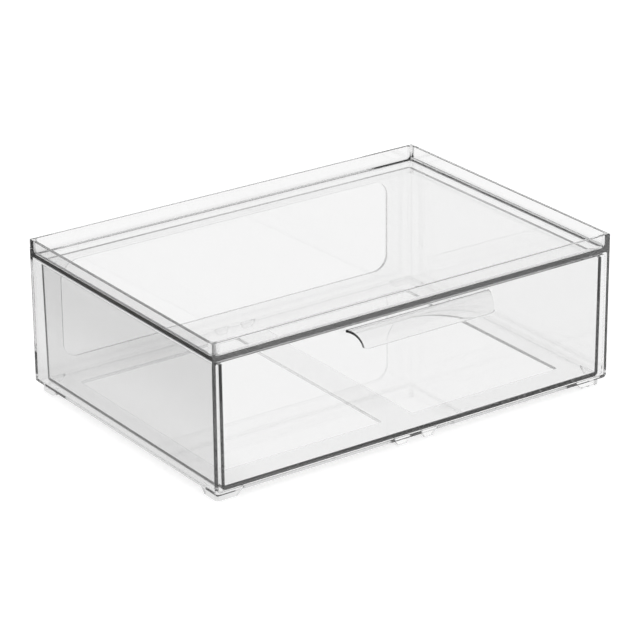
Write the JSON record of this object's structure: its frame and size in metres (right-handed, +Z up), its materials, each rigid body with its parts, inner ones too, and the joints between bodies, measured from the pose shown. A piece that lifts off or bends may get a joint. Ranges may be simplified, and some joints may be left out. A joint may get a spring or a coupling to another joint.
{
  "type": "stackable drawer box",
  "caption": "Clear stackable storage box: an open-fronted casing with a stacking rim, feet and windows, and a drawer with a flat front panel and a curled pull lip that slides out.",
  "frame": {"origin": "on the ground under the middle of the whole box, pull lip included, with the drawer closed", "axes": "+X to the right across the front, +Y to the back wall, +Z up; the drawer slides out along -Y"},
  "size_m": [0.406, 0.2982, 0.1398],
  "materials": {
    "casing_plastic": "clear polished",
    "drawer_plastic": "clear polished"
  },
  "bodies": {
    "casing": {"casing": "casing_plastic"},
    "drawer": {"drawer": "drawer_plastic"}
  },
  "joints": [
    {"name": "drawer_slide", "type": "slide", "parent": "casing", "child": "drawer", "axis": [0, -1, 0], "range_m": [0, 0.22]}
  ]
}
